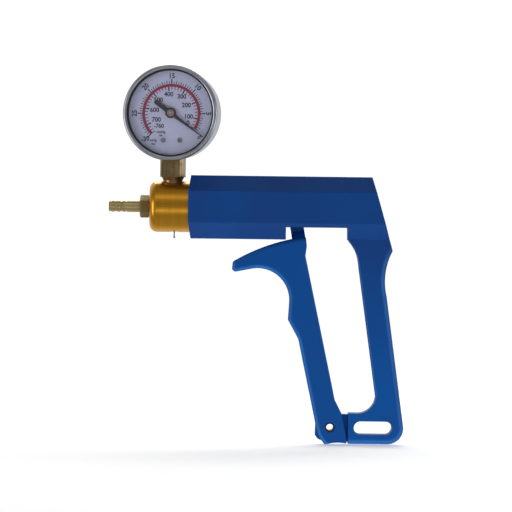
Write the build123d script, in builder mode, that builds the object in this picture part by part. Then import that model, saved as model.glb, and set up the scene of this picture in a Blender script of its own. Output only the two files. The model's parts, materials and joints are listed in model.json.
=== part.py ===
from build123d import *

import os
from math import acos, cos, degrees, radians, sin, sqrt, tan

# Hand vacuum pump, in millimetres.
# +X runs along the cylinder axis from the hose tail to the rear, +Z is up towards the gauge,
# and the gauge faces -Y. The origin is on the cylinder axis, where the hose tail meets its hexagon.

os.makedirs("parts", exist_ok=True)


def keep(part, name):
    """Labels a finished piece and writes it to its own STEP file."""
    part.label = name
    export_step(part, f"parts/{name}.step")


def span(low, high, inner, outer):
    """The four corners of a plain rectangle, for a turned or an extruded section."""
    return (low, inner), (high, inner), (high, outer), (low, outer)


def edges_at(part, test):
    """The edges whose middle point passes the test."""
    return ShapeList([edge for edge in part.edges() if test(edge @ 0.5)])


# ---------------------------------------------------------------- driving dimensions
# Hose tail: three barbs and a plain shank in front of a hexagon.
tail_length = 20.2
tail_radius = 3.85
barb_root_radius = 3.3
barb_pitch = 3.7
barb_land = 0.6
tail_bore_radius = 1.75
hexagon_flats = 12.7
hexagon_length = 6.3

# Cylinder head, turned from bar, with the ports for the hose, the gauge and the release valve.
head_radius = 16.5
head_front = hexagon_length
head_nose_radius = 5.0
head_shoulder = 33.6
spigot_end = 38.0
port_thread_radius = 4.85
port_thread_depth = 9.0
passage_radius = 2.5
plenum_radius = 9.0
valve_plate_thick = 3.0

# Vacuum cylinder.
bore_radius = 13.0
tube_end = 91.8
guide_front, guide_rear = 84.5, 88.5
rod_radius = 4.0

# Barrel of the casting, an eight-sided prism with 45 degree corners.
barrel_front = 31.6
barrel_half = 20.5
barrel_flat_half = 10.3
front_setback = 1.6
barrel_edge_radius = 1.2
barrel_top_rear = (150.6, barrel_half)
spur_tip = (164.4, -27.2)
shoulder_x = 92.0
rod_bore_radius = 10.0
rod_bore_end = 141.0

# Notch under the barrel, where the trigger's arm swings.
notch_front, notch_rear = 95.0, 135.0
notch_top = -12.4
arm_slot_half = 5.0
arm_slot_end = 137.0

# Handle and trigger share one width; the casting's tongue fits inside the trigger's channel.
grip_half = 11.0
channel_half = 7.0
tongue_half = 6.8
pivot = (124.9, -141.8)
pivot_hole_radius = 3.25
pivot_pin_radius = 3.2
pivot_pin_bore = 2.3
handle_front_x = 136.8
handle_bottom = -152.5
opening_bottom = -132.5
lanyard_slot_length = 24.8
lanyard_slot_width = 8.6
lanyard_slot_centre = (152.8, -142.0)

# Trigger.
trigger_top_radius = 124.5
hook_tip_lean = 31.0
finger_centre = (77.0, -60.0)
finger_radius = 20.7
arm_half = 4.0
flare_bottom, flare_top = 122.6, 128.8
flare_half, flare_depth = 9.6, 3.8

# Piston rod's cross pin, which rides in the open slot at the top of the trigger's arm.
cross_pin_x = 100.5
cross_pin_radius = 2.5
arm_lean = degrees(acos(-pivot[1] / sqrt((pivot[0] - cross_pin_x) ** 2 + pivot[1] ** 2)))

# Piston.
piston_front, piston_rear = 39.0, 48.0

# Gauge, screwed into the top of the head and turned a few degrees on its thread.
gauge_x, gauge_z = 21.2, 60.6
gauge_turn = 9.0
bezel_radius = 31.0
bezel_inner = 28.5
bezel_lip_radius = 29.5
bezel_round, bezel_skirt = 2.4, 5.5
gasket_lip = 0.8
case_radius = 29.8
case_rear, case_front = -11.0, 14.6
dial_radius = 27.9
dial_front = 9.9
dial_thick = 0.5
socket_side = 14.8
socket_thread_radius = 6.3

# Release valve, under the head.
release_x = 22.4
release_port_radius = 3.2

# Cylinder head and tube details.
o_ring_x, o_ring_radius, o_ring_floor = 35.8, 0.7, 11.6
port_end = head_front + port_thread_depth
thread_end = port_end - 1.0
plenum_front = 32.6
valve_plate_front = 34.0
valve_stem_radius = 1.5
gauge_port_floor = 8.0
release_port_roof = -7.0
release_passage_radius = 1.2
set_screw_x, set_screw_radius = 46.0, 2.5
ring_thick, ring_groove, ring_inner = 1.2, 13.9, 11.6
running_gap = 0.05

# Release valve details, as heights and radii.
release_pin_radius = 0.5
release_pin_bottom = -20.5
release_bush_bottom = -16.0
release_seat_z = -12.6
release_seal_thick = 0.8

# Piston details.
cup_front, cup_floor, cup_rear = 41.0, 43.0, 46.6
cup_radius, cup_lip_inner = 12.95, 11.6
piston_screw_radius, piston_screw_head, piston_screw_end = 1.5, 3.0, 56.0
fork_front, fork_slot_front, fork_end = 90.6, 94.4, 105.6
fork_radius = 9.0
cross_pin_half = 8.4
ear_cut_radius = 16.5

# Gauge details. Heights are from the dial's centre and depths from the socket's axis.
socket_cone_bottom, socket_cone_top = 17.1, 19.2
socket_top, socket_step = -19.0, -27.5
case_wall, case_rim = 0.8, 11.8
gasket_front, lens_rear, lens_front, lens_radius = 13.8, 12.6, 13.6, 28.7
bourdon_radius, bourdon_thick, bourdon_wall = 22.5, 2.4, 0.4
bourdon_rear, bourdon_width = -8.0, 7.0
bourdon_start, bourdon_sweep = 252.0, 274.0
plate_thick, front_plate_rear = 1.0, 6.0
movement_screw_places, movement_screw_radius = ((-5, -24), (5, -24)), 1.0
dial_screw_places, dial_screw_radius = ((-5, -17.8), (6, -17.8)), 0.8
pillar_places = ((0, 4.6),) + dial_screw_places
arbor_radius = 0.6

# Gears of the movement: the module is 0.3 and the teeth are slim for backlash.
gear_module = 0.3
pinion_teeth, sector_teeth = 12, 72
pinion_pitch = gear_module * pinion_teeth / 2
sector_pitch = gear_module * sector_teeth / 2
tooth_depth, tooth_height, tooth_half = 0.33, 0.22, 0.16
sector_pivot = (0, -pinion_pitch - sector_pitch)
sector_rear, sector_thick = 2.6, 1.0
tail_arm = 4.2
link_rear, link_thick, link_pin_radius = 4.0, 0.8, 0.5
link_end = Vector(17.8, -8.0)

# Pointer.
pointer_rest = -36.0
pointer_length, pointer_tail, pointer_thick = 26.6, 13.0, 0.4
pointer_tail_half, pointer_root_half, pointer_tip_half = 1.5, 1.3, 0.2
pointer_boss_radius, pointer_cap_radius = 3.5, 2.3
hub_rear, pointer_rear, hub_front = 10.4, 11.2, 12.2

gauge_out = Vector(-sin(radians(gauge_turn)), -cos(radians(gauge_turn)), 0)
gauge_right = Vector(cos(radians(gauge_turn)), -sin(radians(gauge_turn)), 0)
gauge_centre = Vector(gauge_x, 0, gauge_z)
gauge_axis = Axis(gauge_centre, gauge_out)


def gauge_face(forward):
    """A plane parallel to the dial, that distance in front of the socket's axis."""
    return Plane(gauge_centre + gauge_out * forward, x_dir=gauge_right, z_dir=gauge_out)


# A plane through the gauge's axis: its x is the distance forward and its y the radius.
gauge_section = Plane(gauge_centre, x_dir=gauge_out, z_dir=-gauge_right)

# ---------------------------------------------------------------- casting
spur_slope = (spur_tip[0] - barrel_top_rear[0]) / (spur_tip[1] - barrel_top_rear[1])
rear_at_axis = barrel_top_rear[0] - spur_slope * barrel_top_rear[1]
handle_inner_corner = Vector(136.0, -21.4)
handle_inner_top, handle_inner_bottom = Vector(142.0, -34.0), Vector(154.0, -118.5)

with BuildPart() as frame_casting:
    # Handle, as one plate whose outline runs down the inside and back up the palm side.
    with BuildSketch(Plane.XZ):
        with BuildLine():
            Polyline((notch_rear, 0), (notch_rear, -17.4), handle_inner_corner)
            TangentArc(handle_inner_top, handle_inner_corner, tangent=handle_inner_top - handle_inner_bottom)
            Line(handle_inner_top, handle_inner_bottom)
            ThreePointArc(handle_inner_bottom, (150.8, -129.3), (142.9, opening_bottom))
            Polyline(
                (142.9, opening_bottom),
                (handle_front_x, opening_bottom),
                (handle_front_x, handle_bottom),
                (161.6, handle_bottom),
            )
            ThreePointArc((161.6, handle_bottom), (169.7, -149.3), (172.6, -141.4))
            Line((172.6, -141.4), (160.9, -57.0))
            ThreePointArc((160.9, -57.0), (160.0, -41.5), spur_tip)
            Polyline(spur_tip, (rear_at_axis, 0), (notch_rear, 0))
        make_face()
    extrude(amount=grip_half, both=True)
    fillet(
        edges_at(
            frame_casting.part,
            lambda m: abs(m.Y) > grip_half - 0.1
            and (m.X > 158 and m.Z < spur_tip[1] or m.Z < handle_bottom + 0.1),
        ),
        radius=4.0,
    )
    fillet(
        edges_at(
            frame_casting.part,
            lambda m: abs(m.Y) > grip_half - 0.1 and m.X < 155 and -132 < m.Z < -22,
        ),
        radius=1.2,
    )

    # Barrel.
    with BuildSketch(Plane.YZ.offset(barrel_front)) as barrel_section:
        Rectangle(2 * barrel_half, 2 * barrel_half)
        chamfer(barrel_section.vertices(), length=barrel_half - barrel_flat_half)
        fillet(barrel_section.vertices(), radius=barrel_edge_radius)
    extrude(amount=spur_tip[0] + 10 - barrel_front)

    # The rear of the barrel is cut to the slope that runs down to the spur over the hand.
    with BuildSketch(Plane.XZ):
        with BuildLine():
            Polyline(
                (barrel_top_rear[0] - spur_slope * -10, barrel_half + 10),
                spur_tip,
                (spur_tip[0] + 20, spur_tip[1]),
                (spur_tip[0] + 20, barrel_half + 10),
                close=True,
            )
        make_face()
    extrude(amount=2 * barrel_half, both=True, mode=Mode.SUBTRACT)

    # Above and below the flats, the front end slopes back a little.
    with BuildSketch(Plane.XZ):
        for side in (1, -1):
            Polygon(
                (barrel_front - 2, side * barrel_flat_half),
                (barrel_front, side * barrel_flat_half),
                (barrel_front + front_setback, side * barrel_half),
                (barrel_front + front_setback, side * (barrel_half + 2)),
                (barrel_front - 2, side * (barrel_half + 2)),
                align=None,
            )
    extrude(amount=2 * barrel_half, both=True, mode=Mode.SUBTRACT)

    # Notch for the trigger's arm.
    with BuildSketch(Plane.XZ):
        Polygon(*span(notch_front, notch_rear, -barrel_half - 1, notch_top), align=None)
    extrude(amount=2 * barrel_half, both=True, mode=Mode.SUBTRACT)

    # Seat of the cylinder, the bore behind it for the rod's fork, and the slot for the arm.
    with BuildSketch(Plane.XZ):
        Polygon(
            (barrel_front - 1, 0),
            (barrel_front - 1, head_radius),
            (shoulder_x, head_radius),
            (shoulder_x, rod_bore_radius),
            (rod_bore_end, rod_bore_radius),
            (rod_bore_end + 3, 0),
            align=None,
        )
    revolve(axis=Axis.X, mode=Mode.SUBTRACT)
    with BuildSketch(Plane.XY.offset(notch_top - 1)):
        Polygon(*span(notch_front, arm_slot_end, -arm_slot_half, arm_slot_half), align=None)
    extrude(amount=-notch_top, mode=Mode.SUBTRACT)

    # The handle is cored from the inside, which leaves side walls and a palm wall.
    with BuildSketch(Plane.XZ) as core:
        Polygon((135, -38), (155.6, -38), (156.2, -55), (165.2, -121), (135, -121), align=None)
        fillet(core.vertices().sort_by(Axis.X)[2:], radius=2.0)
    extrude(amount=channel_half, both=True, mode=Mode.SUBTRACT)

    # Tongue between the trigger's ears. Its front end shows past them.
    with BuildSketch(Plane.XZ):
        Polygon(
            (handle_front_x + 1, -133.4),
            (124.4, -133.4),
            (121.0, -136.6),
            (121.0, -139.6),
            (115.6, -139.6),
            (115.4, -147.0),
            (117.0, -149.2),
            (120.0, -150.6),
            (handle_front_x + 1, -151.2),
            align=None,
        )
    extrude(amount=tongue_half, both=True)
    with BuildSketch(Plane.XZ):
        with Locations(pivot):
            Circle(pivot_pin_radius)
        with Locations(lanyard_slot_centre):
            SlotOverall(lanyard_slot_length, lanyard_slot_width)
    extrude(amount=2 * grip_half, both=True, mode=Mode.SUBTRACT)

    # Tapped hole for the set screw that holds the cylinder, in the underside.
    with BuildSketch(Plane.XY.offset(-barrel_half)):
        with Locations((set_screw_x, 0)):
            Circle(set_screw_radius)
    extrude(amount=barrel_half - head_radius + 0.2, mode=Mode.SUBTRACT)
keep(frame_casting.part, "frame_casting")

# ---------------------------------------------------------------- vacuum cylinder
with BuildPart() as cylinder_head:
    with BuildSketch(Plane.XZ):
        with BuildLine():
            nose = (head_front, head_radius - head_nose_radius)
            tangent = (head_front + head_nose_radius, head_radius)
            Polyline(
                tangent,
                (head_shoulder, head_radius),
                (head_shoulder, bore_radius),
                (o_ring_x - o_ring_radius - 0.2, bore_radius),
                (o_ring_x - o_ring_radius - 0.2, o_ring_floor),
                (o_ring_x + o_ring_radius + 0.2, o_ring_floor),
                (o_ring_x + o_ring_radius + 0.2, bore_radius),
                (spigot_end, bore_radius),
                (spigot_end, plenum_radius),
                (valve_plate_front, plenum_radius),
                (valve_plate_front, plenum_radius - 2),
                (plenum_front, plenum_radius - 2),
                (plenum_front, passage_radius),
                (port_end, passage_radius),
                (port_end, port_thread_radius),
                (head_front, port_thread_radius),
                nose,
            )
            RadiusArc(nose, tangent, head_nose_radius)
        make_face()
    revolve(axis=Axis.X)

    # Port for the gauge in the top, and for the release valve in the bottom.
    with BuildSketch(Plane.XY):
        with Locations((gauge_x, 0)):
            Circle(passage_radius)
    extrude(amount=head_radius, mode=Mode.SUBTRACT)
    with BuildSketch(Plane.XY.offset(gauge_port_floor)):
        with Locations((gauge_x, 0)):
            Circle(socket_thread_radius)
    extrude(amount=head_radius, mode=Mode.SUBTRACT)
    with BuildSketch(Plane.XY):
        with Locations((release_x, 0)):
            Circle(release_passage_radius)
    extrude(amount=-head_radius, mode=Mode.SUBTRACT)
    with BuildSketch(Plane.XY.offset(release_port_roof)):
        with Locations((release_x, 0)):
            Circle(release_port_radius)
    extrude(amount=-head_radius, mode=Mode.SUBTRACT)
keep(cylinder_head.part, "cylinder_head")

with BuildPart() as cylinder_tube:
    with BuildSketch(Plane.XZ):
        Polygon(*span(head_shoulder, tube_end, bore_radius, head_radius), align=None)
        Polygon(*span(guide_rear, guide_rear + ring_thick, bore_radius - 1, ring_groove), align=None,
                mode=Mode.SUBTRACT)
    revolve(axis=Axis.X)
keep(cylinder_tube.part, "cylinder_tube")

with BuildPart() as head_o_ring:
    with BuildSketch(Plane.XZ):
        with Locations((o_ring_x, o_ring_floor + o_ring_radius)):
            Circle(o_ring_radius)
    revolve(axis=Axis.X)
keep(head_o_ring.part, "head_o_ring")

with BuildPart() as cylinder_set_screw:
    with BuildSketch(Plane.XY.offset(-barrel_half + 0.4)):
        with Locations((set_screw_x, 0)):
            Circle(set_screw_radius)
    extrude(amount=barrel_half - head_radius - 0.4)
    with BuildSketch(Plane.XY.offset(-barrel_half + 0.4)):
        with Locations((set_screw_x, 0)):
            RegularPolygon(1.25, 6, major_radius=False)
    extrude(amount=2.2, mode=Mode.SUBTRACT)
keep(cylinder_set_screw.part, "cylinder_set_screw")

with BuildPart() as rod_guide:
    with BuildSketch(Plane.YZ.offset(guide_front)):
        Circle(bore_radius)
        Circle(rod_radius + running_gap, mode=Mode.SUBTRACT)
        with PolarLocations(8.5, 6):
            Circle(1.6, mode=Mode.SUBTRACT)
    extrude(amount=guide_rear - guide_front)
keep(rod_guide.part, "rod_guide")

with BuildPart() as guide_retaining_ring:
    with BuildSketch(Plane.YZ.offset(guide_rear)):
        Circle(ring_groove)
        Circle(ring_inner, mode=Mode.SUBTRACT)
        with Locations((0, ring_inner)):
            Rectangle(6, 8, mode=Mode.SUBTRACT)
        for side in (1, -1):
            with Locations((side * 4.4, ring_inner - 1.0)):
                Circle(1.7)
                Circle(0.7, mode=Mode.SUBTRACT)
    extrude(amount=ring_thick)
keep(guide_retaining_ring.part, "guide_retaining_ring")

with BuildPart() as hose_barb:
    with BuildSketch(Plane.XZ):
        with BuildLine():
            profile = [(-tail_length, tail_bore_radius)]
            for barb in range(3):
                start = -tail_length + barb * barb_pitch
                crest = start + barb_pitch - barb_land
                profile += [(start, barb_root_radius), (crest, tail_radius)]
                profile += [(crest + barb_land, tail_radius)]
                profile += [(crest + barb_land, barb_root_radius)]
            shank_start = -tail_length + 3 * barb_pitch + barb_land
            profile += [(shank_start, barb_root_radius), (shank_start, tail_radius), (0.5, tail_radius)]
            profile += [(0.5, port_thread_radius), (thread_end, port_thread_radius)]
            profile += [(thread_end, tail_bore_radius)]
            Polyline(*[point for place, point in enumerate(profile) if point != profile[place - 1]],
                     close=True)
        make_face()
    revolve(axis=Axis.X)
    with BuildSketch(Plane.YZ):
        RegularPolygon(hexagon_flats / 2, 6, major_radius=False, rotation=30)
        Circle(tail_radius, mode=Mode.SUBTRACT)
    extrude(amount=hexagon_length)
    # The hexagon's corners are turned off at 30 degrees.
    with BuildSketch(Plane.XZ):
        for face, inward in ((0, 1), (hexagon_length, -1)):
            Polygon(
                (face, hexagon_flats / 2 - 0.1),
                (face, hexagon_flats),
                (face + inward * hexagon_flats * tan(radians(30)) / 2, hexagon_flats),
                align=None,
            )
    revolve(axis=Axis.X, mode=Mode.SUBTRACT)
keep(hose_barb.part, "hose_barb")

# ---------------------------------------------------------------- inlet valve
with BuildPart() as inlet_valve_plate:
    with BuildSketch(Plane.YZ.offset(valve_plate_front)):
        Circle(plenum_radius)
        Circle(valve_stem_radius, mode=Mode.SUBTRACT)
        with PolarLocations(3.9, 6):
            Circle(0.9, mode=Mode.SUBTRACT)
    extrude(amount=valve_plate_thick)
keep(inlet_valve_plate.part, "inlet_valve_plate")

with BuildPart() as inlet_check_valve:
    with BuildSketch(Plane.XZ):
        valve_rear = valve_plate_front + valve_plate_thick
        Polygon(
            (valve_plate_front - 1.3, 0),
            (valve_plate_front - 1.3, 0.9),
            (valve_plate_front, 2.2),
            (valve_plate_front, valve_stem_radius),
            (valve_rear, valve_stem_radius),
            (valve_rear, 6.2),
            (valve_rear + 0.4, 6.2),
            (valve_rear + 1.2, 2.0),
            (valve_rear + 1.2, 0),
            align=None,
        )
    revolve(axis=Axis.X)
keep(inlet_check_valve.part, "inlet_check_valve")

# ---------------------------------------------------------------- release valve
release_line = Axis((release_x, 0, 0), (0, 0, 1))


def turned_on_release_line(*profile):
    """A turned solid on the release valve's axis, from points of radius and height."""
    with BuildPart() as turned:
        with BuildSketch(Plane.XZ.move(Location((release_x, 0, 0)))):
            Polygon(*profile, align=None)
        revolve(axis=release_line)
    return turned.part


release_valve_bush = turned_on_release_line(
    (release_pin_radius + 0.3, release_bush_bottom),
    (release_port_radius, release_bush_bottom),
    (release_port_radius, release_seat_z),
    (release_pin_radius + 0.3, release_seat_z),
)
keep(release_valve_bush, "release_valve_bush")

release_seal = turned_on_release_line(
    (release_pin_radius, release_seat_z),
    (2.3, release_seat_z),
    (2.3, release_seat_z + release_seal_thick),
    (release_pin_radius, release_seat_z + release_seal_thick),
)
keep(release_seal, "release_seal")

release_flange_z = release_seat_z + release_seal_thick
release_pin = turned_on_release_line(
    (0, release_pin_bottom),
    (0.45, release_pin_bottom),
    (0.8, release_pin_bottom + 0.35),
    (0.8, release_pin_bottom + 0.9),
    (release_pin_radius, release_pin_bottom + 1.3),
    (release_pin_radius, release_flange_z),
    (2.1, release_flange_z),
    (2.1, release_flange_z + 0.9),
    (0.8, release_flange_z + 0.9),
    (0.8, release_flange_z + 1.8),
    (0, release_flange_z + 1.8),
)
keep(release_pin, "release_pin")


def coil_spring(start, direction, coil_radius, wire_radius, length, turns):
    """A round-wire compression spring between two points, with its ends tangent to both planes."""
    along = Vector(*direction)
    with BuildPart() as spring:
        with BuildLine():
            coil = Helix(
                pitch=(length - 2 * wire_radius) / turns,
                height=length - 2 * wire_radius,
                radius=coil_radius,
                center=Vector(*start) + along * wire_radius,
                direction=direction,
            )
        with BuildSketch(Plane(coil @ 0, z_dir=coil % 0)):
            Circle(wire_radius)
        sweep(path=coil, is_frenet=True)
    return spring.part


release_valve_spring = coil_spring(
    (release_x, 0, release_flange_z + 1.0), (0, 0, 1), 1.45, 0.2,
    release_port_roof - release_flange_z - 1.1, 4,
)
keep(release_valve_spring, "release_valve_spring")

# ---------------------------------------------------------------- piston and rod
with BuildPart() as piston_body:
    with BuildSketch(Plane.XZ):
        Polygon(*span(cup_floor, piston_rear, piston_screw_radius, cup_lip_inner - 0.2), align=None)
    revolve(axis=Axis.X)
    chamfer(piston_body.edges().filter_by(GeomType.CIRCLE).sort_by(Axis.X)[-1], length=0.6)
keep(piston_body.part, "piston_body")

with BuildPart() as piston_cup_seal:
    with BuildSketch(Plane.XZ):
        Polygon(
            (cup_front, piston_screw_radius),
            (cup_front, cup_radius - 1.2),
            (cup_front + 1.2, cup_radius - 0.5),
            (cup_rear, cup_radius),
            (cup_rear, cup_radius - 0.5),
            (cup_floor, cup_lip_inner),
            (cup_floor, piston_screw_radius),
            align=None,
        )
    revolve(axis=Axis.X)
keep(piston_cup_seal.part, "piston_cup_seal")

with BuildPart() as piston_washer:
    with BuildSketch(Plane.XZ):
        Polygon(
            (piston_front, piston_screw_head),
            (piston_front, cup_radius - 1.9),
            (cup_front, cup_radius - 1.5),
            (cup_front, piston_screw_radius),
            (piston_front + piston_screw_head - piston_screw_radius, piston_screw_radius),
            align=None,
        )
    revolve(axis=Axis.X)
keep(piston_washer.part, "piston_washer")

with BuildPart() as piston_screw:
    with BuildSketch(Plane.XZ):
        Polygon(
            (piston_front, 0),
            (piston_front, piston_screw_head),
            (piston_front + piston_screw_head - piston_screw_radius, piston_screw_radius),
            (piston_screw_end, piston_screw_radius),
            (piston_screw_end, 0),
            align=None,
        )
    revolve(axis=Axis.X)
    with BuildSketch(Plane.YZ.offset(piston_front)):
        Rectangle(0.8, 2 * piston_screw_head)
    extrude(amount=0.7, mode=Mode.SUBTRACT)
keep(piston_screw.part, "piston_screw")

with BuildPart() as piston_rod:
    with BuildSketch(Plane.XZ):
        Polygon(
            (piston_rear, piston_screw_radius),
            (piston_rear, rod_radius),
            (fork_front, rod_radius),
            (fork_front, fork_radius),
            (fork_end, fork_radius),
            (fork_end, 0),
            (piston_screw_end, 0),
            (piston_screw_end, piston_screw_radius),
            align=None,
        )
    revolve(axis=Axis.X)
    # Fork for the trigger's arm, cross-drilled for the pin.
    with BuildSketch(Plane.XZ):
        Polygon(*span(fork_slot_front, fork_end + 1, -fork_radius, fork_radius), align=None)
    extrude(amount=arm_half + 0.4, both=True, mode=Mode.SUBTRACT)
    with BuildSketch(Plane.XZ):
        with Locations((cross_pin_x, 0)):
            Circle(cross_pin_radius)
    extrude(amount=fork_radius, both=True, mode=Mode.SUBTRACT)
keep(piston_rod.part, "piston_rod")

with BuildPart() as cross_pin:
    with BuildSketch(Plane.XZ):
        with Locations((cross_pin_x, 0)):
            Circle(cross_pin_radius)
    extrude(amount=cross_pin_half, both=True)
    chamfer(cross_pin.edges().filter_by(GeomType.CIRCLE), length=0.3)
keep(cross_pin.part, "cross_pin")

return_spring = coil_spring(
    (piston_rear + 0.1, 0, 0), (1, 0, 0), 8.6, 0.6, guide_front - piston_rear - 0.2, 4.5
)
keep(return_spring, "return_spring")

# ---------------------------------------------------------------- trigger
def from_pivot(radius, lean):
    """The point that far from the hinge, leaning forward from upright by that angle."""
    return (pivot[0] - radius * sin(radians(lean)), pivot[1] + radius * cos(radians(lean)))


def around_finger(angle):
    """A point of the round recess for the first finger."""
    return (
        finger_centre[0] + finger_radius * cos(radians(angle)),
        finger_centre[1] + finger_radius * sin(radians(angle)),
    )


# Its x runs across the arm and its y along it, from the hinge through the cross pin.
arm_plane = Plane(
    (pivot[0], 0, pivot[1]),
    x_dir=(cos(radians(arm_lean)), 0, sin(radians(arm_lean))),
    z_dir=(0, -1, 0),
)
# Its x runs along the hinge's axis and its y up the arm.
flare_plane = Plane((pivot[0], 0, pivot[1]), x_dir=(0, 1, 0), z_dir=arm_plane.x_dir)
slot_half = cross_pin_radius + 0.2
slot_floor = -pivot[1] - cross_pin_radius - 0.5
arm_top = 149.0

finger_cusp = (97.0, -72.6)
grip_front_bend, grip_front_bottom = Vector(103.9, -85.1), Vector(116.2, -142.5)
grip_front_slope = grip_front_bend - grip_front_bottom
grip_rear_bottom, grip_rear_top = Vector(128.0, -124.0), Vector(107.9, -31.0)

with BuildPart() as trigger_lever:
    with BuildSketch(Plane.XZ) as trigger_outline:
        with BuildLine():
            top = ThreePointArc(
                from_pivot(trigger_top_radius, 7.8),
                from_pivot(trigger_top_radius, 18),
                from_pivot(trigger_top_radius, hook_tip_lean),
            )
            Polyline(top @ 1, (60.0, -42.3), around_finger(101))
            ThreePointArc(around_finger(101), around_finger(50), around_finger(-3))
            Polyline(around_finger(-3), finger_cusp, grip_front_bend, grip_front_bottom)
            TangentArc(grip_front_bottom, (121.8, -153.0), tangent=grip_front_slope * -1)
            ThreePointArc((121.8, -153.0), (130.0, -151.6), (135.4, -152.0))
            Polyline((135.4, -152.0), (136.0, -151.2), (132.4, -132.6), grip_rear_bottom, grip_rear_top)
            Polyline(grip_rear_top, (108.7, -24.6), top @ 0)
        make_face()
        fillet(trigger_outline.vertices().sort_by(Axis.X)[:2], radius=2.4)
        bend = trigger_outline.vertices().sort_by_distance(grip_front_bend)
        fillet(bend[0], radius=8.0)
    extrude(amount=grip_half, both=True)
    fillet(
        edges_at(
            trigger_lever.part,
            lambda m: abs(m.Y) > grip_half - 0.1 and m.Z < -41 and m.X < 103 - 0.235 * (m.Z + 72),
        ),
        radius=3.0,
    )
    fillet(
        edges_at(
            trigger_lever.part,
            lambda m: abs(m.Y) > grip_half - 0.1 and -134 < m.Z < -22 and m.X > 103 - 0.235 * (m.Z + 72),
        ),
        radius=1.2,
    )

    # Narrow arm that reaches up into the barrel, with an open slot for the cross pin.
    with BuildSketch(arm_plane) as arm_outline:
        Polygon((-4.8, 112), (1.5, 112), (3.9, 119), (3.9, arm_top), (-4.8, arm_top), align=None)
        fillet(arm_outline.vertices().group_by(Axis.Y)[-1], radius=1.0)
    extrude(amount=arm_half, both=True)
    # Its sides flare out to the width of the grip.
    with BuildSketch(flare_plane):
        Polygon(
            (-flare_half, flare_bottom),
            (flare_half, flare_bottom),
            (arm_half, flare_top),
            (-arm_half, flare_top),
            align=None,
        )
    extrude(amount=flare_depth, both=True)
    with BuildSketch(arm_plane):
        Polygon(*span(-slot_half, slot_half, slot_floor, arm_top + 1), align=None)
    extrude(amount=2 * arm_half, both=True, mode=Mode.SUBTRACT)

    # Channel for the casting's tongue, and the hinge's holes through both ears.
    with BuildSketch(Plane.XZ):
        with Locations(pivot):
            Circle(ear_cut_radius)
        Polygon(
            from_pivot(ear_cut_radius, 0),
            (pivot[0] + 20, pivot[1] + ear_cut_radius),
            (pivot[0] + 20, pivot[1] - 20),
            from_pivot(-ear_cut_radius, 0),
            align=None,
        )
    extrude(amount=channel_half, both=True, mode=Mode.SUBTRACT)
    with BuildSketch(Plane.XZ):
        with Locations(pivot):
            Circle(pivot_hole_radius)
    extrude(amount=2 * grip_half, both=True, mode=Mode.SUBTRACT)

    # The grip is cored from the back, which leaves side walls and a finger wall.
    with BuildSketch(Plane.XZ) as trigger_core:
        Polygon((135, -120), (116.4, -120), (107.6, -79), (105.0, -64), (135, -64), align=None)
        fillet(trigger_core.vertices().sort_by(Axis.X)[:3], radius=2.0)
    extrude(amount=channel_half, both=True, mode=Mode.SUBTRACT)
keep(trigger_lever.part, "trigger_lever")

with BuildPart() as pivot_pin:
    with BuildSketch(Plane.XZ):
        with Locations(pivot):
            Circle(pivot_pin_radius)
            Circle(pivot_pin_bore, mode=Mode.SUBTRACT)
    extrude(amount=grip_half - 0.3, both=True)
keep(pivot_pin.part, "pivot_pin")

# ---------------------------------------------------------------- gauge body
socket_plane = Plane((gauge_x, 0, 0), x_dir=gauge_right, z_dir=(0, 0, 1))
tube_outer = bourdon_radius + bourdon_thick / 2
tube_inner = bourdon_radius - bourdon_thick / 2


def ring_sector(outer, inner, start, sweep_angle):
    """A sketch face between two radii and two angles, counted from the right."""
    with BuildSketch() as sector:
        with BuildLine():
            outside = CenterArc((0, 0), outer, start, sweep_angle)
            inside = CenterArc((0, 0), inner, start, sweep_angle)
            Line(outside @ 0, inside @ 0)
            Line(outside @ 1, inside @ 1)
        make_face()
    return sector.sketch


def turned_on_gauge(*profile):
    """A turned solid on the gauge's axis, from points of distance forward and radius."""
    with BuildPart() as turned:
        with BuildSketch(gauge_section):
            Polygon(*profile, align=None)
        revolve(axis=gauge_axis)
    return turned.part


def studs(places, low, high, radius):
    """Round studs between two distances forward, one at each place on the dial's plane."""
    with BuildPart() as group:
        with BuildSketch(gauge_face(low)):
            with Locations(*places):
                Circle(radius)
        extrude(amount=high - low)
    return group.part


with BuildPart() as gauge_socket:
    with BuildSketch(Plane.XZ):
        Polygon(
            (gauge_x, gauge_port_floor + 0.2),
            (gauge_x + socket_thread_radius, gauge_port_floor + 0.2),
            (gauge_x + socket_thread_radius, socket_cone_bottom),
            (gauge_x + socket_side / 2, socket_cone_top),
            (gauge_x, socket_cone_top),
            align=None,
        )
    revolve(axis=Axis((gauge_x, 0, 0), (0, 0, 1)))
    with BuildSketch(socket_plane.offset(socket_cone_top)) as block:
        Rectangle(socket_side, socket_side)
        chamfer(block.vertices(), length=1.6)
    extrude(amount=gauge_z + socket_top - socket_cone_top)
    # Inside the case the block is stepped back, to carry the movement on its front.
    with BuildSketch(gauge_face(0)):
        Polygon(*span(-socket_side, socket_side, socket_step, socket_top + 1), align=None)
    extrude(amount=socket_side, mode=Mode.SUBTRACT)
    with BuildSketch(gauge_face(bourdon_rear)):
        add(ring_sector(tube_outer, tube_inner, bourdon_start, -15))
    extrude(amount=bourdon_width, mode=Mode.SUBTRACT)
    with BuildSketch(Plane.XY.offset(0)):
        with Locations((gauge_x, 0)):
            Circle(1.5)
    extrude(amount=gauge_z + socket_step, mode=Mode.SUBTRACT)
    with BuildSketch(gauge_face(1)):
        with Locations(*movement_screw_places):
            Circle(movement_screw_radius)
    extrude(amount=-7, mode=Mode.SUBTRACT)
keep(gauge_socket.part, "gauge_socket")

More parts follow.
